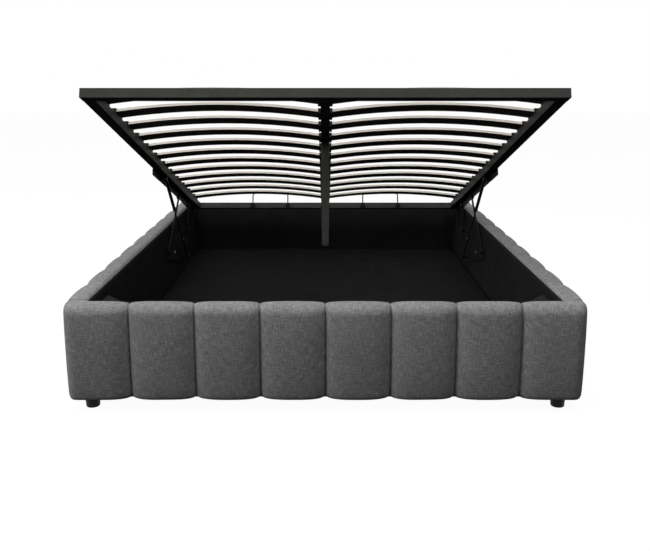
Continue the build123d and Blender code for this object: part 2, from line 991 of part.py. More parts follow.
def write_platform():
    save("platform_front_rail", lifted * tube_along_x(0, rail_width))
    save("platform_rear_rail", lifted * tube_along_x(platform_length - rail_width, platform_length))
    centre = centre_rail_width / 2
    save("platform_centre_rail", lifted * tube_along_y(-centre, centre))
    save("rail_end_plugs", lifted * rail_plugs())
    paired = (
        ("platform_side_rail", side_rail),
        ("slats", slat_set),
        ("slat_holders", outer_holders),
        ("mattress_stop", mattress_stop),
        ("lift_hanger", hanger),
    )
    for name, maker in paired:
        right, left = both_sides(maker)
        save(name + "_right", lifted * right)
        save(name + "_left", lifted * left)
    single = (
        ("slat_holders_centre", centre_holders),
        ("mattress_stop_clamps", stop_clamps),
        ("lift_hanger_bolts", hanger_bolts),
        ("lift_hanger_pins", hanger_pins),
        ("leg_outer_tube", leg_outer_tube),
        ("leg_middle_tube", leg_middle_tube),
        ("leg_inner_tube", leg_inner_tube),
        ("leg_tip", leg_tip),
    )
    for name, maker in single:
        save(name, lifted * maker())


def print_motion():
    """Angles and strokes that the joints need, from the lifted pose down to the closed one."""
    lift = heading(arm_base, arm_top_closed) - arm_open_angle
    rear = heading(rear_base, rear_top_closed) - heading(rear_base, rear_top)
    strut = heading(strut_base, strut_top_closed) - heading(strut_base, strut_top)
    print("box", box_width, box_length, "open corner", open_corner)
    print("arm base", arm_base, "arm top", arm_top, "rear base", rear_base, "rear top", rear_top)
    print("strut base", strut_base, "strut top", strut_top, "strut x", strut_x, "arm x", arm_inner, arm_outer)
    print("lift closes by", lift, "platform turns", platform_open_angle, "rear arm", rear, "strut", strut)
    print("strut length", strut_open_length, "to", strut_closed_length)
    print("rear arm length open", math.dist(rear_base, rear_top), "closed", math.dist(rear_base, rear_top_closed))
    print("leg slides", leg_middle_out - leg_middle_closed_out, leg_inner_out - leg_inner_closed_out)


os.makedirs("parts", exist_ok=True)
write_box()
write_linkage()
write_platform()
print_motion()
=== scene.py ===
import json
import math

import bmesh
import bpy
import numpy as np
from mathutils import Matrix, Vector

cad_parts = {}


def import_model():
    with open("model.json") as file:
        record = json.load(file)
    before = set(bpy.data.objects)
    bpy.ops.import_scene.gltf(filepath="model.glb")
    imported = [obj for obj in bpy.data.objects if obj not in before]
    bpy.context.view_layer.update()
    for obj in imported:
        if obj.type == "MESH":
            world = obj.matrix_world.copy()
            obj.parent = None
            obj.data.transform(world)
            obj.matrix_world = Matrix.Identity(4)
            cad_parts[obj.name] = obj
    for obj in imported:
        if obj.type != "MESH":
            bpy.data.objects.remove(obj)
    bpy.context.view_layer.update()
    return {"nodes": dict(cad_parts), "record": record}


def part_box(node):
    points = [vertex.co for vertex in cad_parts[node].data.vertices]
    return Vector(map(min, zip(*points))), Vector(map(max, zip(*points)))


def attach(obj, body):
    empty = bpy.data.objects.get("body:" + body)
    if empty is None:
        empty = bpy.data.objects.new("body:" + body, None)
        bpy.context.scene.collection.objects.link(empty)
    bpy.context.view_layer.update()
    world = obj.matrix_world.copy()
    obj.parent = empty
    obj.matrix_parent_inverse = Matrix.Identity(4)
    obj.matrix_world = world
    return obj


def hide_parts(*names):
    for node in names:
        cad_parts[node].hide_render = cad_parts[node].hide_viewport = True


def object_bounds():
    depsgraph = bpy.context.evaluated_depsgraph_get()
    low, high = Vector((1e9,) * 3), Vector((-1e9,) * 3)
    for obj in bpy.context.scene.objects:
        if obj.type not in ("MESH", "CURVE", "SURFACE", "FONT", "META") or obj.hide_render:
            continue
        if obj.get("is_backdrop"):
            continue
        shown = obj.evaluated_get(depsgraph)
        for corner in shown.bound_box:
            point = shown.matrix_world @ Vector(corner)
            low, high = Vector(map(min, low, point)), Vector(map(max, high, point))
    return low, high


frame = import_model()

# Sizes of the box, in metres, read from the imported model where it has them
foot_low, foot_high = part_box("foot_upholstery")
head_low, head_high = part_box("head_upholstery")
_, board_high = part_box("foot_board")
cloth_low, cloth_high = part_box("floor_cloth")

HALF_WIDTH = foot_high.x
HALF_LENGTH = round(-foot_low.y, 4)
BOX_BOTTOM = round(foot_low.z, 4)
BOX_TOP = round(foot_high.z, 4)
BOARD_TOP = board_high.z
PAD = 0.042
WALL = 0.062
END_CHANNELS = 8
SIDE_CHANNELS = 10
END_PITCH = 2 * HALF_WIDTH / END_CHANNELS
SIDE_LENGTH = head_low.y - foot_low.y - PAD
CAP_TOLERANCE = 1e-4
RIM_TOLERANCE = 0.001

# Shape of one sewn channel of the foot end: seams drawn in, edges rounded, face bowed
VALLEY = 0.027
DIP = 0.0095
TOP_RADIUS = 0.036
TOP_RADIUS_DROP = 0.019
FLOOR_RADIUS = 0.016
CROWN = 0.004
FULLNESS = 2.8
BOW_POWER = 2.4
RIM_RADIUS = 0.013
RIM_INSET = 0.003
RIM_PINCH = 0.004
CORNER_RADIUS = 0.030
CORNER_RIM = 0.001

# The same for the side panels
SIDE_VALLEY = 0.009
SIDE_BULGE = 0.006
SIDE_RISE = 0.002
SIDE_DIP = 0.0035
SIDE_CROWN = 0.002
SIDE_TOP_RADIUS = 0.014

# How far the cloth is pulled in at the box's sides, at the top and near the floor
TAPER_TOP = 0.002
TAPER_LOW = 0.003

# Depth of the middle point that closes a panel's end
HUB_DEPTH = PAD * 0.62

# Points along the parts of a section, and rows along a channel
FLAT_STEPS = 4
FLOOR_ARC_STEPS = 6
FACE_STEPS = 34
TOP_ARC_STEPS = 9
RIM_ARC_STEPS = 5
BACK_STEPS = 6
ROWS_PER_CHANNEL = 22

# Swelling of the cloth over its foam, from a cloth simulation of one channel
SWELL_SEEDS = (3, 8, 21, 34)
SWELL_NOISE = 0.0006
SWELL_FRAMES = 20
SWELL_LIMIT = 0.0022
SWELL_SMOOTHING = 14
SWELL_STRIDE = 3
CLOTH_SETTINGS = {
    "quality": 6,
    "mass": 0.35,
    "tension_stiffness": 25,
    "compression_stiffness": 25,
    "shear_stiffness": 8,
    "bending_stiffness": 1.2,
    "use_pressure": True,
    "uniform_pressure_force": 1.6,
    "shrink_min": -0.035,
    "vertex_group_mass": "sewn",
}

# The flat pad of the head end, and its cloth folded over the boards' edges
HEAD_EDGE = 0.006
HEAD_EDGE_STATIONS = (0, 0.12, 0.35, 0.65, 1)
HEAD_CROWN = 0.002
HEAD_FLAT_ACROSS = 6
HEAD_FLAT_UP = 4
HEAD_COLUMNS = 48
HEAD_ROWS = 14
FLAP = 0.0015
FLAP_LAP = 0.004
FLAP_SINK = 0.0004
FLAP_TURN = 0.0024
BOX_SIDES = ((0, 1, 3, 2), (4, 6, 7, 5), (0, 4, 5, 1), (2, 3, 7, 6), (0, 2, 6, 4), (1, 5, 7, 3))

# Linings and floor cloth
LINING_RISE = 0.0145
LINING_STEP = 0.016
LINING_THICKNESS = 0.0012
RIPPLES = 12
RIPPLE_HEIGHT = 0.0004
RIPPLE_LENGTHS = (0.05, 0.16)
RIPPLE_MARGIN_ALONG = 0.05
RIPPLE_MARGIN_UP = 0.03
FLOOR_WIDTH = cloth_high.x - cloth_low.x
FLOOR_LENGTH = cloth_high.y - cloth_low.y
FLOOR_LIFT = 0.0008
FLOOR_STEP = 0.012
FLOOR_THICKNESS = 0.0008
CREASE_WIDTHS = (0.008, 0.022)
CREASE_HEIGHTS = (0.4, 1.0)

# Stage, lamps and camera
WHITE = (1, 1, 1, 1)
STAGE_CORNERS = ((-14, -9, 0), (14, -9, 0), (14, 19, 0), (-14, 19, 0))
STAGE_UNSEEN = 0.035
STAGE_SEEN = 0.75
STAGE_GLOW = 1.07
STAGE_GLOW_SHARE = 0.90
SKY_LOW = 0.019
SKY_HIGH = 0.26
SKY_HIGH_FROM = 0.8
LAMPS = (
    # name, place, target, size, watts
    ("key_top", (-0.3, -1.2, 3.8), (0, -0.8, 0.2), (3.6, 1.8), 119),
    ("left_soft", (-8.0, -3.2, 2.8), (0, -0.8, 0.3), (3.0, 2.5), 298),
    ("right_soft", (6.0, -2.6, 2.6), (0, -0.8, 0.3), (2.5, 2.0), 7.5),
)
FOCAL_PX = 777.0
IMAGE_WIDTH = 650.0
IMAGE_HEIGHT = 551.0
SENSOR = 36.0
CENTRE_X = 325.3
CENTRE_Y = 234.0
PITCH_DOWN = 11.28
CAMERA_BACK = 2.066
CAMERA_HEIGHT = 0.9343
CLIP_NEAR = 0.05
CLIP_FAR = 100


def link(obj):
    bpy.context.scene.collection.objects.link(obj)
    return obj


def mesh_object(name, verts, faces, smooth=True):
    mesh = bpy.data.meshes.new(name)
    mesh.from_pydata([tuple(map(float, v)) for v in verts], [], faces)
    mesh.validate()
    if smooth:
        mesh.polygons.foreach_set("use_smooth", [True] * len(mesh.polygons))
    mesh.update()
    return link(bpy.data.objects.new(name, mesh))


def grid_faces(rows, columns):
    """Quads over points that were listed row by row."""
    faces = []
    for i in range(rows - 1):
        for j in range(columns - 1):
            a = i * columns + j
            faces.append((a, a + columns, a + columns + 1, a + 1))
    return faces


def normals_outward(obj):
    bm = bmesh.new()
    bm.from_mesh(obj.data)
    bmesh.ops.recalc_face_normals(bm, faces=bm.faces)
    bm.to_mesh(obj.data)
    bm.free()


# Materials

NEUTRAL = (1, 1, 1)
WARM = (1, 1, 0.93)
COOL = (1.0, 1.0, 1.015)

# Where a face starts and ends to count as looking down, or towards the middle of the bed; these set
# where painted shade falls, and where faces that look down lose their specular
DOWNWARD = (-0.6, -0.1)
INWARD = (-0.4, -0.1)


class Nodes:
    """A node tree, with helpers that add and wire its nodes."""

    def __init__(self, tree):
        self.nodes = tree.nodes
        self.links = tree.links

    def add(self, kind, **values):
        node = self.nodes.new(kind)
        for key, value in values.items():
            setattr(node, key, value)
        return node

    def feed(self, node, socket, value):
        if hasattr(value, "is_output"):
            self.links.new(value, node.inputs[socket])
        else:
            node.inputs[socket].default_value = value

    def math(self, operation, a, b):
        node = self.add("ShaderNodeMath", operation=operation)
        self.feed(node, 0, a)
        self.feed(node, 1, b)
        return node.outputs[0]

    def total(self, *terms):
        """Sum of (value, weight) pairs."""
        result = self.math("MULTIPLY", *terms[0])
        for value, weight in terms[1:]:
            result = self.math("ADD", result, self.math("MULTIPLY", value, weight))
        return result

    def spread(self, value, low, high, out_low, out_high):
        """Map low..high to out_low..out_high, and hold the ends."""
        node = self.add("ShaderNodeMapRange")
        self.feed(node, "Value", value)
        self.feed(node, "From Min", low)
        self.feed(node, "From Max", high)
        self.feed(node, "To Min", out_low)
        self.feed(node, "To Max", out_high)
        return node.outputs["Result"]

    def parts(self, vector):
        node = self.add("ShaderNodeSeparateXYZ")
        self.feed(node, "Vector", vector)
        return node.outputs

    def seen_rays(self):
        """1 for the rays that show the background: seen directly, mirrored or through glass."""
        path = self.add("ShaderNodeLightPath")
        value = path.outputs["Is Camera Ray"]
        for kind in ("Is Glossy Ray", "Is Transmission Ray"):
            value = self.math("MAXIMUM", value, path.outputs[kind])
        return value

    def finish_with(self, output, share, first, second):
        """Send a mix of two shaders to the output node."""
        mix = self.add("ShaderNodeMixShader")
        self.feed(mix, "Fac", share)
        self.feed(mix, 1, first.outputs[0])
        self.feed(mix, 2, second.outputs[0])
        self.feed(self.nodes[output], "Surface", mix.outputs[0])


class Shader(Nodes):
    """A procedural material on one Principled shader."""

    SOCKETS = {
        "colour": "Base Color",
        "rough": "Roughness",
        "metal": "Metallic",
        "normal": "Normal",
        "specular": "Specular IOR Level",
        "sheen": "Sheen Weight",
        "sheen_rough": "Sheen Roughness",
    }

    def __init__(self, name):
        self.mat = bpy.data.materials.new(name)
        self.mat.use_nodes = True
        super().__init__(self.mat.node_tree)
        self.bsdf = self.nodes["Principled BSDF"]

    def coords(self, uv=None):
        if uv:
            return self.add("ShaderNodeUVMap", uv_map=uv).outputs["UV"]
        return self.add("ShaderNodeTexCoord").outputs["Object"]

    def scaled(self, vector, scale, shift=(0, 0, 0)):
        node = self.add("ShaderNodeMapping")
        self.feed(node, "Vector", vector)
        self.feed(node, "Scale", scale)
        self.feed(node, "Location", shift)
        return node.outputs["Vector"]

    def noise(self, vector, scale, detail, rough):
        node = self.add("ShaderNodeTexNoise")
        self.feed(node, "Vector", vector)
        self.feed(node, "Scale", scale)
        self.feed(node, "Detail", detail)
        self.feed(node, "Roughness", rough)
        return node.outputs["Fac"]

    def wave(self, vector, scale, axis):
        node = self.add("ShaderNodeTexWave", bands_direction=axis)
        self.feed(node, "Vector", vector)
        self.feed(node, "Scale", scale)
        return node.outputs["Fac"]

    def ramp(self, value, *stops):
        """Colours at places along a value, as (place, colour) pairs."""
        node = self.add("ShaderNodeValToRGB")
        self.feed(node, "Fac", value)
        elements = node.color_ramp.elements
        while len(elements) < len(stops):
            elements.new(0.5)
        for element, (place, colour) in zip(elements, stops):
            element.position = place
            element.color = (*colour, 1)
        return node.outputs["Color"]

    def bump(self, height, strength, distance, normal=None):
        node = self.add("ShaderNodeBump")
        self.feed(node, "Height", height)
        self.feed(node, "Strength", strength)
        self.feed(node, "Distance", distance)
        if normal is not None:
            self.feed(node, "Normal", normal)
        return node.outputs["Normal"]

    def by_slope(self, below, above):
        """One value on faces that look down, another on the rest; used on a colour, this is painted
        shade.
        """
        facing = self.parts(self.add("ShaderNodeNewGeometry").outputs["Normal"])
        return self.spread(facing["Z"], *DOWNWARD, below, above)

    def shade_inward_faces(self, inside):
        """A painted-shade factor on side faces that look towards the middle of the bed, 1 on the
        rest.
        """
        coords = self.add("ShaderNodeTexCoord")
        place, facing = self.parts(coords.outputs["Object"]), self.parts(coords.outputs["Normal"])
        outward = self.math("MULTIPLY", place["X"], facing["X"])
        return self.spread(outward, *INWARD, inside, 1.0)

    def times(self, colour, factor):
        node = self.add("ShaderNodeVectorMath", operation="SCALE")
        self.feed(node, 0, colour)
        self.feed(node, "Scale", factor)
        return node.outputs["Vector"]

    def set(self, **values):
        for key, value in values.items():
            if key == "colour" and not hasattr(value, "is_output"):
                value = (*value, 1)
            self.feed(self.bsdf, self.SOCKETS[key], value)
        return self.mat


LINEN_THREADS = (
    # scale along u and v, shift, detail, roughness, weight
    ((400, 50, 1), (0, 0, 0), 3, 0.62, 0.30),
    ((50, 400, 1), (7.3, 2.1, 0), 3, 0.62, 0.30),
    ((280, 40, 1), (1.7, 9.2, 0), 2, 0.5, 0.22),
    ((40, 280, 1), (4.4, 0.6, 0), 2, 0.5, 0.22),
)
LINEN_BROAD_WEIGHT = 0.06
LINEN_SPREAD = (0.435, 0.665)
LINEN_LEVELS = ((0.0, 0.161), (0.5, 0.266), (1.0, 0.419))
WEAVE_PITCH = 900.0
WEAVE_SCALE = 0.159
WEAVE_THREADS = 2.2
TIMBER_RINGS = 36.0
TIMBER_FINE = 9


def grey(level, tint=NEUTRAL):
    return tuple(level * t for t in tint)


def linen():
    """Mottled cloth of crossing threads, over the bump of a fine weave."""
    s = Shader("linen")
    uv = s.coords("weave")
    terms = [
        (s.noise(s.scaled(uv, scale, shift), 1.0, detail, rough), weight)
        for scale, shift, detail, rough, weight in LINEN_THREADS
    ]
    threads = s.total(*terms, (s.noise(uv, scale=9.0, detail=3, rough=0.5), LINEN_BROAD_WEIGHT))
    stops = [(place, grey(level, COOL)) for place, level in LINEN_LEVELS]
    colour = s.ramp(s.spread(threads, *LINEN_SPREAD, 0, 1), *stops)
    over = s.wave(s.scaled(uv, (WEAVE_PITCH, 1, 1)), WEAVE_SCALE, "X")
    under = s.wave(s.scaled(uv, (1, WEAVE_PITCH, 1)), WEAVE_SCALE, "Y")
    crossed = s.math("MAXIMUM", over, under)
    weave = s.math("ADD", crossed, s.math("MULTIPLY", threads, WEAVE_THREADS))
    return s.set(
        colour=colour, rough=0.92, normal=s.bump(weave, strength=0.4, distance=0.0006),
        specular=0.06, sheen=0.05, sheen_rough=0.5,
    )


def lining_cloth(name, level, rough):
    s = Shader(name)
    place = s.coords()
    fibres = s.noise(place, scale=900.0, detail=3, rough=0.6)
    soft = s.noise(place, scale=11.0, detail=3, rough=0.55)
    colour = s.ramp(
        s.total((fibres, 0.6), (soft, 0.4)), (0.3, grey(level * 0.7)), (0.7, grey(level * 1.35)),
    )
    dents = s.bump(soft, strength=0.5, distance=0.006)
    normal = s.bump(fibres, strength=0.35, distance=0.0006, normal=dents)
    return s.set(colour=colour, rough=rough, normal=normal, specular=0.02)


def coated_steel(name, level, rough, shine, tint=NEUTRAL, inside=1.0):
    """Powder-coated steel; inside darkens the faces that look towards the middle of the bed as
    painted shade.
    """
    s = Shader(name)
    place = s.coords()
    grain = s.noise(place, scale=1400.0, detail=2, rough=0.5)
    worn = s.noise(place, scale=14.0, detail=4, rough=0.6)
    colour = s.ramp(worn, (0.3, grey(level * 0.85, tint)), (0.75, grey(level * 1.2, tint)))
    return s.set(
        # Painted shade: faces that look towards the middle of the bed get their colour scaled by
        # inside.
        colour=s.times(colour, s.shade_inward_faces(inside)),
        rough=s.spread(worn, 0.2, 0.8, rough - 0.06, rough + 0.08),
        normal=s.bump(grain, strength=0.25, distance=0.0003),
        specular=s.by_slope(0.0, shine),
    )


def bright_metal(name, colour, rough):
    s = Shader(name)
    lines = s.noise(s.coords(), scale=700.0, detail=3, rough=0.6)
    return s.set(
        colour=s.ramp(lines, (0.3, tuple(c * 0.86 for c in colour)), (0.7, colour)),
        rough=s.spread(lines, 0.3, 0.7, rough - 0.05, rough + 0.08),
        metal=1.0,
        normal=s.bump(lines, strength=0.2, distance=0.0002),
    )


def moulded(name, level, rough, specular):
    s = Shader(name)
    grain = s.noise(s.coords(), scale=1100.0, detail=3, rough=0.6)
    broad = s.noise(s.coords(), scale=20.0, detail=2, rough=0.5)
    return s.set(
        colour=s.ramp(broad, (0.3, grey(level * 0.9)), (0.7, grey(level * 1.15))),
        rough=s.spread(broad, 0.3, 0.7, rough - 0.05, rough + 0.05),
        normal=s.bump(grain, strength=0.3, distance=0.0004),
        specular=specular,
    )


def timber(name, dark, light, stretch, rough, below):
    """Wood with its grain along the axis that stretch squeezes; below darkens faces that look down
    as painted shade.
    """
    s = Shader(name)
    place = s.coords()
    grain = s.noise(s.scaled(place, stretch), TIMBER_RINGS, detail=6, rough=0.62)
    fine = s.noise(s.scaled(place, stretch), TIMBER_RINGS * TIMBER_FINE, detail=3, rough=0.6)
    mixed = s.total((grain, 0.7), (fine, 0.3))
    middle = tuple((a + b) / 2 for a, b in zip(dark, light))
    colour = s.ramp(mixed, (0.32, dark), (0.5, middle), (0.68, light))
    return s.set(
        # Painted shade: faces that look down get their colour scaled by below.
        colour=s.times(colour, s.by_slope(below, 1.0)),
        rough=rough,
        normal=s.bump(mixed, strength=0.3, distance=0.0008),
        specular=s.by_slope(0.0, 0.3),
    )


def chips(name, dark, light):
    s = Shader(name)
    flakes = s.noise(s.coords(), scale=260.0, detail=4, rough=0.7)
    return s.set(
        colour=s.ramp(flakes, (0.3, dark), (0.7, light)),
        rough=0.85,
        normal=s.bump(flakes, strength=0.4, distance=0.0008),
        specular=0.2,
    )


LINEN = linen()
LINING = lining_cloth("lining_cloth", level=0.016, rough=0.78)
FLOOR_CLOTH = lining_cloth("floor_cloth_weave", level=0.012, rough=0.66)
MATERIALS = {
    "upholstery": LINEN,
    "lining": LINING,
    "floor_cloth": FLOOR_CLOTH,
    "board": chips("particle_board", dark=(0.30, 0.21, 0.12), light=(0.56, 0.43, 0.28)),
    "timber": timber(
        "softwood", dark=(0.45, 0.30, 0.16), light=(0.66, 0.50, 0.31), stretch=(0.06, 1, 1),
        rough=0.6, below=1.0,
    ),
    "hardboard": chips("brown_hardboard", dark=(0.14, 0.085, 0.045), light=(0.24, 0.16, 0.09)),
    "foot": moulded("foot_black", level=0.016, rough=0.42, specular=0.12),
    "zinc": bright_metal("zinc", colour=(0.40, 0.40, 0.39), rough=0.42),
    "gusset": lining_cloth("gusset_cloth", level=0.027, rough=0.85),
    "lift_steel": coated_steel("lift_steel", level=0.013, rough=0.5, shine=0.06),
    "strut_body": coated_steel("strut_body", level=0.016, rough=0.45, shine=0.12),
    "strut_rod": coated_steel("strut_rod", level=0.016, rough=0.35, shine=0.2),
    # The rails' faces that look towards the middle of the bed are painted shade, at 0.4 of the
    # steel's colour.
    "frame_steel": coated_steel(
        "frame_steel", level=0.048, rough=0.55, shine=0.13, tint=WARM, inside=0.4,
    ),
    "plug": moulded("plug_black", level=0.019, rough=0.5, specular=0.08),
    # The slats' undersides are painted shade, darkened to 0.13 of the birch colour.
    "slat": timber(
        "birch", dark=(0.62, 0.57, 0.50), light=(0.80, 0.76, 0.70), stretch=(0.05, 1, 1),
        rough=0.5, below=0.13,
    ),
    "holder": moulded("holder_black", level=0.016, rough=0.5, specular=0.04),
    "leg_tip": moulded("rubber_tip", level=0.022, rough=0.75, specular=0.3),
}

for part in frame["record"]["subparts"]:
    node = frame["nodes"][part["node"]]
    for face_slot in node.material_slots:
        face_slot.material = MATERIALS[part["material_slot"]]


# Upholstery


def arc(centre, radius, start, end, steps):
    """Points on an arc in the depth and height plane, angles in degrees, ends left out."""
    points = []
    for i in range(1, steps):
        a = math.radians(start + (end - start) * i / steps)
        points.append((centre[0] + radius * math.cos(a), centre[1] + radius * math.sin(a)))
    return points


def run(a, b, steps):
    """Points from a up to but not including b."""
    across, up = b[0] - a[0], b[1] - a[1]
    return [(a[0] + across * i / steps, a[1] + up * i / steps) for i in range(steps)]


def section(face, drop, rise, radius, bow, rim_radius, pinch=0.0):
    """Loop of (depth, height) round the padding.

    The padding is set back by face, lowered by drop and raised off the floor by rise; pinch draws
    its inner top edge in.
    """
    top = BOX_TOP - drop
    low = BOX_BOTTOM + rise
    front = face + bow
    rim = WALL - RIM_INSET - rim_radius - pinch
    points = run((PAD, low), (front + FLOOR_RADIUS, low), FLAT_STEPS)
    points.append((front + FLOOR_RADIUS, low))
    points += arc(
        (front + FLOOR_RADIUS, low + FLOOR_RADIUS), FLOOR_RADIUS, 270, 180, FLOOR_ARC_STEPS,
    )
    first, last = low + FLOOR_RADIUS, top - radius
    for i in range(FACE_STEPS + 1):
        share = i / FACE_STEPS
        bulge = 1 - abs(2 * share - 1) ** BOW_POWER
        points.append((front - bow * bulge, first + (last - first) * share))
    points += arc((front + radius, top - radius), radius, 180, 90, TOP_ARC_STEPS)
    points += run((front + radius, top), (rim, top), FLAT_STEPS)
    points.append((rim, top))
    points += arc((rim, top - rim_radius), rim_radius, 90, 0, RIM_ARC_STEPS)
    points.append((rim + rim_radius, top - rim_radius))
    points += [(WALL - RIM_INSET, BOARD_TOP), (PAD, BOARD_TOP)]
    points += [(PAD, BOARD_TOP + (low - BOARD_TOP) * i / BACK_STEPS) for i in range(1, BACK_STEPS)]
    return np.array(points)


def drawn_in(share):
    """How far a share of a channel is drawn in: 1 on its seams, near 0 over most of it."""
    return 1 - max(0.0, 1 - abs(2 * share - 1) ** FULLNESS) ** (1 / FULLNESS)


def sewn_section(drawn, side, full=1.0):
    """The section where the cloth is drawn in towards a seam: 1 on the seam, 0 on a crown."""
    pinch = RIM_PINCH * drawn ** 2
    if side:
        face = SIDE_VALLEY * drawn - SIDE_BULGE * full * (1 - drawn)
        drop = SIDE_DIP * drawn - SIDE_RISE * full * (1 - drawn)
        rise = SIDE_DIP * drawn
        return section(face, drop, rise, SIDE_TOP_RADIUS, SIDE_CROWN, RIM_RADIUS, pinch)
    radius = TOP_RADIUS - TOP_RADIUS_DROP * drawn
    return section(VALLEY * drawn, DIP * drawn, DIP * drawn, radius, CROWN, RIM_RADIUS, pinch)


def corner_section(from_end):
    """The section near the foot end's corner, where its front and top round off into the side."""
    plan = 1 - math.sqrt(1 - max(0.0, 1 - from_end / CORNER_RADIUS) ** 2)
    edge = 1 - math.sqrt(1 - max(0.0, 1 - from_end / SIDE_TOP_RADIUS) ** 2)
    rim_radius = CORNER_RIM if from_end < WALL else RIM_RADIUS
    radius = TOP_RADIUS - TOP_RADIUS_DROP * plan
    drop, rise = SIDE_TOP_RADIUS * edge, FLOOR_RADIUS * edge
    return section(VALLEY * plan, drop, rise, radius, CROWN, rim_radius)


SHARES = [
    0.5 - 0.5 * math.cos(math.pi * i / ROWS_PER_CHANNEL) for i in range(ROWS_PER_CHANNEL + 1)
]
COLUMNS = len(sewn_section(0.0, False))

# The columns of a section that show, without its start underneath and its end inside the wall
SEWN_FROM, SEWN_TO = 2, COLUMNS - (BACK_STEPS + 2)


def channel(pitch, side=False, open_start=False, open_end=False):
    """Rows of points (along, depth, height) over one channel. An open edge has no seam."""
    rows = np.zeros((len(SHARES), COLUMNS, 3))
    for i, share in enumerate(SHARES):
        open_half = open_start if share < 0.5 else open_end
        rows[i, :, 0] = share * pitch
        if not open_half:
            rows[i, :, 1:] = sewn_section(drawn_in(share), side)
        elif side:
            rows[i, :, 1:] = sewn_section(0.0, side, math.sin(math.pi * min(share, 0.5)))
        else:
            rows[i, :, 1:] = corner_section(pitch * min(share, 1 - share))
    return rows


def half_waves(count, width):
    """A sheet of factors that rises from 0 at its edges to 1 in the middle."""
    down, across = np.sin(np.linspace(0, math.pi, count)), np.sin(np.linspace(0, math.pi, width))
    return down[:, None] * across[None, :]


def simulated(obj, count, width):
    """Points of a patch after its cloth has settled with its border held."""
    border = [
        i * width + j for i in range(count) for j in range(width)
        if i in (0, count - 1) or j in (0, width - 1)
    ]
    obj.vertex_groups.new(name="sewn").add(border, 1.0, "REPLACE")
    cloth = obj.modifiers.new("cloth", "CLOTH")
    for key, value in CLOTH_SETTINGS.items():
        setattr(cloth.settings, key, value)
    cloth.settings.effector_weights.gravity = 0
    cloth.collision_settings.use_collision = False
    cloth.point_cache.frame_start = 1
    cloth.point_cache.frame_end = SWELL_FRAMES
    for number in range(1, SWELL_FRAMES + 1):
        bpy.context.scene.frame_set(number)
    made = obj.evaluated_get(bpy.context.evaluated_depsgraph_get())
    points = np.array([v.co for v in made.data.vertices]).reshape(count, width, 3)
    bpy.context.scene.frame_set(1)
    return points


def swollen(pitch, seed):
    """How the cloth of one channel moves when it is pulled over its foam."""
    rows = channel(pitch)
    count, width = len(SHARES), SEWN_TO - SEWN_FROM
    patch = rows[:, SEWN_FROM:SEWN_TO].copy()
    rng = np.random.default_rng(seed)
    patch[:, :, 1] += rng.normal(0, SWELL_NOISE, (count, width)) * half_waves(count, width)
    obj = mesh_object("patch", patch.reshape(-1, 3), grid_faces(count, width))
    shift = simulated(obj, count, width) - rows[:, SEWN_FROM:SEWN_TO]
    bpy.data.objects.remove(obj)
    for _ in range(SWELL_SMOOTHING):
        across = shift[:-2, 1:-1] + shift[2:, 1:-1]
        along = shift[1:-1, :-2] + shift[1:-1, 2:]
        shift[1:-1, 1:-1] = (2 * shift[1:-1, 1:-1] + across + along) / 6
    shift *= SWELL_LIMIT / np.linalg.norm(shift, axis=2).max()
    full = np.zeros_like(rows)
    full[:, SEWN_FROM:SEWN_TO] = shift
    return full


SWELLS = [swollen(END_PITCH, seed) for seed in SWELL_SEEDS]


def trim_cap(rows):
    """A side panel's top cap starts where the foot panel's cap ends."""
    margin = WALL - PAD
    over = rows[:, :, 2] > BOARD_TOP - CAP_TOLERANCE
    near = rows[:, :, 0] < margin
    rows[:, :, 0] = np.where(over & near, margin, rows[:, :, 0])


def panel_rows(pitch, channels, offset, beside_foot):
    """Rows of points (along, depth, height) over all channels of a panel, swollen in turn."""
    rows = []
    for c in range(channels):
        base = channel(pitch, beside_foot, c == 0, not beside_foot and c == channels - 1)
        swell = SWELLS[(c * SWELL_STRIDE + offset) % len(SWELLS)].copy()
        if (c + offset) % 2:
            swell = swell[::-1].copy()
            swell[:, :, 0] *= -1
        part = base + swell
        part[:, :, 0] += c * pitch
        rows += list(part if c == 0 else part[1:])
    rows = np.array(rows)
    if beside_foot:
        trim_cap(rows)
    return rows


def panel(name, length, channels, place, offset, beside_foot):
    """A padded panel; place maps (along, depth, height) to the object's frame."""
    rows = panel_rows(length / channels, channels, offset, beside_foot)
    count = len(rows)
    around = np.zeros((count, COLUMNS + 1))
    wrapped = np.concatenate([rows, rows[:, :1]], axis=1)
    around[:, 1:] = np.cumsum(np.linalg.norm(np.diff(wrapped, axis=1), axis=2), axis=1)
    verts = [place(*p) for p in rows.reshape(-1, 3)]
    faces, uvs = [], []
    for i in range(count - 1):
        for j in range(COLUMNS):
            k = (j + 1) % COLUMNS
            a, b = i * COLUMNS, (i + 1) * COLUMNS
            faces.append((a + j, b + j, b + k, a + k))
            u0, u1 = rows[i, j, 0], rows[i + 1, j, 0]
            uvs += [(u0, around[i, j]), (u1, around[i + 1, j])]
            uvs += [(u1, around[i + 1, j + 1]), (u0, around[i, j + 1])]
    for end in (0, count - 1):
        middle = rows[end].mean(axis=0)
        middle[1:] = (HUB_DEPTH, (BOX_TOP + BOX_BOTTOM) / 2)
        verts.append(place(*middle))
        hub = len(verts) - 1
        for j in range(COLUMNS):
            k = (j + 1) % COLUMNS
            a, b = end * COLUMNS + j, end * COLUMNS + k
            corners = (a, b, hub) if end == 0 else (b, a, hub)
            faces.append(corners)
            flat = {a: rows[end, j, 1:], b: rows[end, k, 1:], hub: middle[1:]}
            uvs += [tuple(flat[corner]) for corner in corners]
    obj = mesh_object(name, verts, faces)
    layer = obj.data.uv_layers.new(name="weave")
    for at, uv in enumerate(uvs):
        layer.data[at].uv = uv
    normals_outward(obj)
    obj.data.materials.append(LINEN)
    return obj


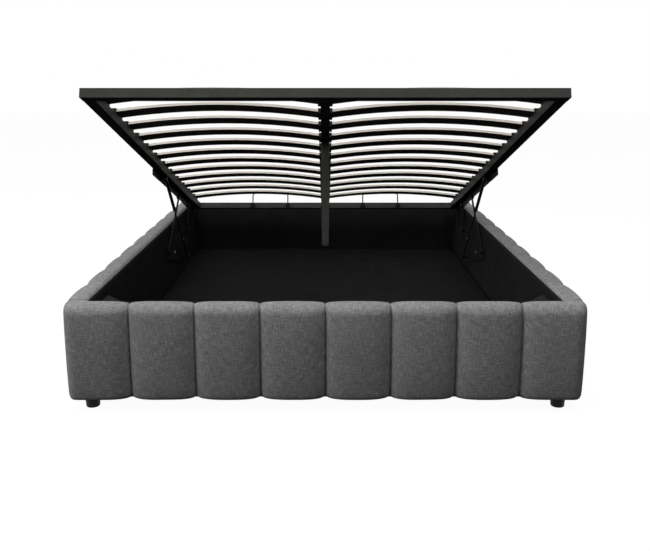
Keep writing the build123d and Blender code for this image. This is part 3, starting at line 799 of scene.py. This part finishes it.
def pulled_in(height):
    """How far the cloth is pulled in at the box's sides, more towards the floor."""
    return TAPER_TOP + (TAPER_LOW - TAPER_TOP) * (BOX_TOP - height) / (BOX_TOP - BOX_BOTTOM)


def foot_place(along, depth, height):
    """Only the outer channel at each end is pulled in."""
    x = along - HALF_WIDTH
    seam = HALF_WIDTH - END_PITCH
    if abs(x) > seam:
        shrunk = (abs(x) - seam) * (1 - pulled_in(height) / END_PITCH)
        x = math.copysign(seam + shrunk, x)
    return (x, depth - HALF_LENGTH, height)


def right_place(along, depth, height):
    pulled = depth + pulled_in(height) * max(0.0, 1 - depth / PAD)
    return (HALF_WIDTH - pulled, along - HALF_LENGTH + PAD, height)


def left_place(along, depth, height):
    x, y, z = right_place(along, depth, height)
    return (-x, y, z)


for name, node, length, channels, place, offset, beside_foot in (
    ("padding_foot", "foot_upholstery", 2 * HALF_WIDTH, END_CHANNELS, foot_place, 0, False),
    ("padding_right", "side_upholstery_right", SIDE_LENGTH, SIDE_CHANNELS, right_place, 2, True),
    ("padding_left", "side_upholstery_left", SIDE_LENGTH, SIDE_CHANNELS, left_place, 3, True),
):
    cushion = panel(name, length, channels, place, offset, beside_foot)
    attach(cushion, "box")
    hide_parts(node)


def flap(verts, faces, low, high):
    """The head pad's cloth folded over a board's edge, as a thin box."""
    at = len(verts)
    xs, ys, zs = zip(low, high)
    verts += [(x, y, z) for x in xs for y in ys for z in zs]
    faces += [tuple(at + corner for corner in side) for side in BOX_SIDES]


def head_flaps(verts, faces):
    """Cloth over the head board's top and over the side boards' ends above it."""
    board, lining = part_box("head_board"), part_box("head_lining")
    top = head_high.z - FLAP_SINK
    side_top = BOARD_TOP + FLAP_SINK
    inner, outer = HALF_WIDTH - WALL, HALF_WIDTH - PAD + FLAP_LAP
    turned = inner + FLAP_TURN
    flap(
        verts, faces,
        (board[0].x, lining[0].y, top),
        (board[1].x, head_low.y + FLAP_LAP, head_high.z + FLAP),
    )
    for start, end in ((inner, outer), (-outer, -inner)):
        flap(verts, faces, (start, head_low.y, top), (end, head_low.y + FLAP, side_top))
    for start, end in ((inner, turned), (-turned, -inner)):
        flap(verts, faces, (start, lining[0].y, top), (end, head_low.y, side_top))


def stations(count, size):
    """Places from 0 to 1 across a pad, close together over its soft edges."""
    inner = [HEAD_EDGE / size * s for s in HEAD_EDGE_STATIONS]
    middle = [inner[-1] + (1 - 2 * inner[-1]) * i / count for i in range(1, count)]
    return inner + middle + [1 - s for s in reversed(inner)]


def head_point(u, v, outer):
    """A point of the head pad's outer or inner face, at u across and v up."""
    width, tall = head_high.x - head_low.x, head_high.z - head_low.z
    x, z = width * u, tall * v
    inset = max(0.0, HEAD_EDGE - min(x, width - x, z, tall - z))
    round_off = HEAD_EDGE - math.sqrt(max(0.0, HEAD_EDGE ** 2 - inset ** 2))
    full = HEAD_CROWN * (1 - (2 * u - 1) ** HEAD_FLAT_ACROSS) * (1 - (2 * v - 1) ** HEAD_FLAT_UP)
    thick = head_high.y - head_low.y
    depth = thick - HEAD_CROWN + full - round_off if outer else 0.0
    return (head_low.x + x, head_low.y + depth, head_low.z + z)


def flat_pad():
    """A thin pad with soft edges, a little fuller in the middle of its outer face."""
    us = stations(HEAD_COLUMNS, head_high.x - head_low.x)
    vs = stations(HEAD_ROWS, head_high.z - head_low.z)
    nu, nv, half = len(us), len(vs), len(us) * len(vs)
    verts = [head_point(u, v, outer) for outer in (True, False) for u in us for v in vs]
    faces = []
    for a, b, c, d in grid_faces(nu, nv):
        faces += [(a, b, c, d), (half + a, half + d, half + c, half + b)]
    ring = [i * nv for i in range(nu)] + [(nu - 1) * nv + j for j in range(1, nv)]
    ring += [i * nv + nv - 1 for i in range(nu - 2, -1, -1)] + list(range(nv - 2, 0, -1))
    for a, b in zip(ring, ring[1:] + ring[:1]):
        faces.append((a, b, half + b, half + a))
    soft_faces = len(faces)
    head_flaps(verts, faces)
    obj = mesh_object("padding_head", verts, faces)
    for polygon in obj.data.polygons[soft_faces:]:
        polygon.use_smooth = False
    layer = obj.data.uv_layers.new(name="weave")
    for loop in obj.data.loops:
        x, y, z = obj.data.vertices[loop.vertex_index].co
        layer.data[loop.index].uv = (x + y, z + y)
    normals_outward(obj)
    obj.data.materials.append(LINEN)
    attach(obj, "box")
    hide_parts("head_upholstery")


flat_pad()


# Linings and floor cloth


def wavy_sheet(name, size, corner, axes, wave, step, thickness):
    """A thin sheet from a corner over its first two axes, with a gentle wave along the third."""
    wide, long = size
    nu, nv = max(2, int(wide / step)), max(2, int(long / step))
    corner, u_axis, v_axis, out_axis = map(np.array, (corner, *axes))
    verts = []
    for i in range(nu + 1):
        for j in range(nv + 1):
            u, v = wide * i / nu, long * j / nv
            verts.append(corner + u_axis * u + v_axis * v + out_axis * wave(u, v))
    obj = mesh_object(name, verts, grid_faces(nu + 1, nv + 1))
    solid = obj.modifiers.new("thickness", "SOLIDIFY")
    solid.thickness = thickness
    solid.offset = 0
    return obj


def folds(seed, count, size, lengths, region):
    """Soft creases at random places; returns a height function of (u, v)."""
    rng = np.random.default_rng(seed)
    u0, u1, v0, v1 = region
    made = []
    for _ in range(count):
        middle = (rng.uniform(u0, u1), rng.uniform(v0, v1))
        turn = rng.uniform(0, math.pi)
        length, width = rng.uniform(*lengths), rng.uniform(*CREASE_WIDTHS)
        made.append((*middle, turn, length, width, size * rng.uniform(*CREASE_HEIGHTS)))

    def height(u, v):
        total = 0.0
        for cu, cv, turn, length, width, high in made:
            x = (u - cu) * math.cos(turn) + (v - cv) * math.sin(turn)
            y = -(u - cu) * math.sin(turn) + (v - cv) * math.cos(turn)
            total += high * math.exp(-((x / length) ** 2)) * math.exp(-((y / width) ** 2))
        return min(total, size)

    return height


far_folds = folds(
    seed=5, count=26, size=0.0065, lengths=(0.05, 0.17),
    region=(0.12, FLOOR_WIDTH - 0.12, FLOOR_LENGTH * 0.80, FLOOR_LENGTH - 0.03),
)
near_folds = folds(
    seed=11, count=16, size=0.0035, lengths=(0.08, 0.22),
    region=(0.10, FLOOR_WIDTH - 0.10, FLOOR_LENGTH * 0.45, FLOOR_LENGTH * 0.80),
)
ground = wavy_sheet(
    "floor_cloth_sheet",
    (FLOOR_WIDTH, FLOOR_LENGTH),
    (cloth_low.x, cloth_low.y, cloth_low.z + FLOOR_LIFT),
    ((1.0, 0, 0), (0, 1.0, 0), (0, 0, 1.0)),
    lambda u, v: far_folds(u, v) + near_folds(u, v),
    FLOOR_STEP,
    FLOOR_THICKNESS,
)
ground.data.materials.append(FLOOR_CLOTH)
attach(ground, "box")
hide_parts("floor_cloth")

for name, node, seed in (
    ("lining_right", "side_lining_right", 1),
    ("lining_left", "side_lining_left", 2),
    ("lining_foot", "foot_lining", 3),
    ("lining_head", "head_lining", 4),
):
    low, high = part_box(node)
    reaches_rim = high.z > BOARD_TOP - RIM_TOLERANCE
    tall = high.z - low.z + (LINING_RISE if reaches_rim else 0.0)
    if high.x - low.x < high.y - low.y:
        span = high.y - low.y
        u_axis = (0, 1.0, 0)
        out_axis = (1.0 if high.x < 0 else -1.0, 0, 0)
        corner = ((low.x + high.x) / 2, low.y, low.z)
    else:
        span = high.x - low.x
        u_axis = (1.0, 0, 0)
        out_axis = (0, 1.0 if high.y < 0 else -1.0, 0)
        corner = (low.x, (low.y + high.y) / 2, low.z)
    region = (
        RIPPLE_MARGIN_ALONG, span - RIPPLE_MARGIN_ALONG, RIPPLE_MARGIN_UP, tall - RIPPLE_MARGIN_UP,
    )
    ripple = folds(seed, RIPPLES, RIPPLE_HEIGHT, RIPPLE_LENGTHS, region)
    axes = (u_axis, (0, 0, 1.0), out_axis)
    cloth = wavy_sheet(name, (span, tall), corner, axes, ripple, LINING_STEP, LINING_THICKNESS)
    cloth.data.materials.append(LINING)
    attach(cloth, "box")
    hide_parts(node)


# Stage, lamps and camera


def stage_floor():
    """A white floor that shows bright, lights the object little and keeps its shadow."""
    obj = mesh_object("ground", STAGE_CORNERS, [(0, 1, 2, 3)], smooth=False)
    s = Shader("ground_white")
    camera_rays = s.add("ShaderNodeLightPath").outputs["Is Camera Ray"]
    pale = s.spread(camera_rays, 0, 1, STAGE_UNSEEN, STAGE_SEEN)
    obj.data.materials.append(s.set(colour=pale, rough=0.9, specular=0.1))
    glow = s.add("ShaderNodeEmission")
    s.feed(glow, "Color", WHITE)
    s.feed(glow, "Strength", STAGE_GLOW)
    share = s.math("MULTIPLY", s.seen_rays(), STAGE_GLOW_SHARE)
    s.finish_with("Material Output", share, s.bsdf, glow)
    obj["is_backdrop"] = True


def world():
    """Soft light that grows with height, behind a plain white for the rays that show it."""
    sky = bpy.data.worlds.new("studio")
    bpy.context.scene.world = sky
    sky.use_nodes = True
    n = Nodes(sky.node_tree)
    back = n.nodes["Background"]
    n.feed(back, "Color", WHITE)
    direction = n.parts(n.add("ShaderNodeTexCoord").outputs["Generated"])
    n.feed(back, "Strength", n.spread(direction["Z"], 0.0, SKY_HIGH_FROM, SKY_LOW, SKY_HIGH))
    seen = n.add("ShaderNodeBackground")
    n.feed(seen, "Color", WHITE)
    n.feed(seen, "Strength", 1.0)
    n.finish_with("World Output", n.seen_rays(), back, seen)


def area_light(name, place, target, size, watts):
    light = bpy.data.lights.new(name, "AREA")
    light.shape = "RECTANGLE"
    light.size, light.size_y = size
    light.energy = watts
    obj = link(bpy.data.objects.new(name, light))
    obj.location = place
    obj.rotation_euler = (Vector(target) - Vector(place)).to_track_quat("-Z", "Y").to_euler()


def camera():
    data = bpy.data.cameras.new("camera")
    data.sensor_width = SENSOR
    data.lens = FOCAL_PX / IMAGE_WIDTH * SENSOR
    data.shift_x = -(CENTRE_X - IMAGE_WIDTH / 2) / IMAGE_WIDTH
    data.shift_y = -(IMAGE_HEIGHT / 2 - CENTRE_Y) / IMAGE_WIDTH
    data.clip_start = CLIP_NEAR
    data.clip_end = CLIP_FAR
    obj = link(bpy.data.objects.new("camera", data))
    obj.location = (0, -HALF_LENGTH - CAMERA_BACK, CAMERA_HEIGHT)
    obj.rotation_euler = (math.radians(90 - PITCH_DOWN), 0, 0)
    bpy.context.scene.camera = obj


stage_floor()
world()
for lamp in LAMPS:
    area_light(*lamp)
camera()
bpy.context.scene.view_settings.view_transform = "Standard"

low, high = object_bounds()
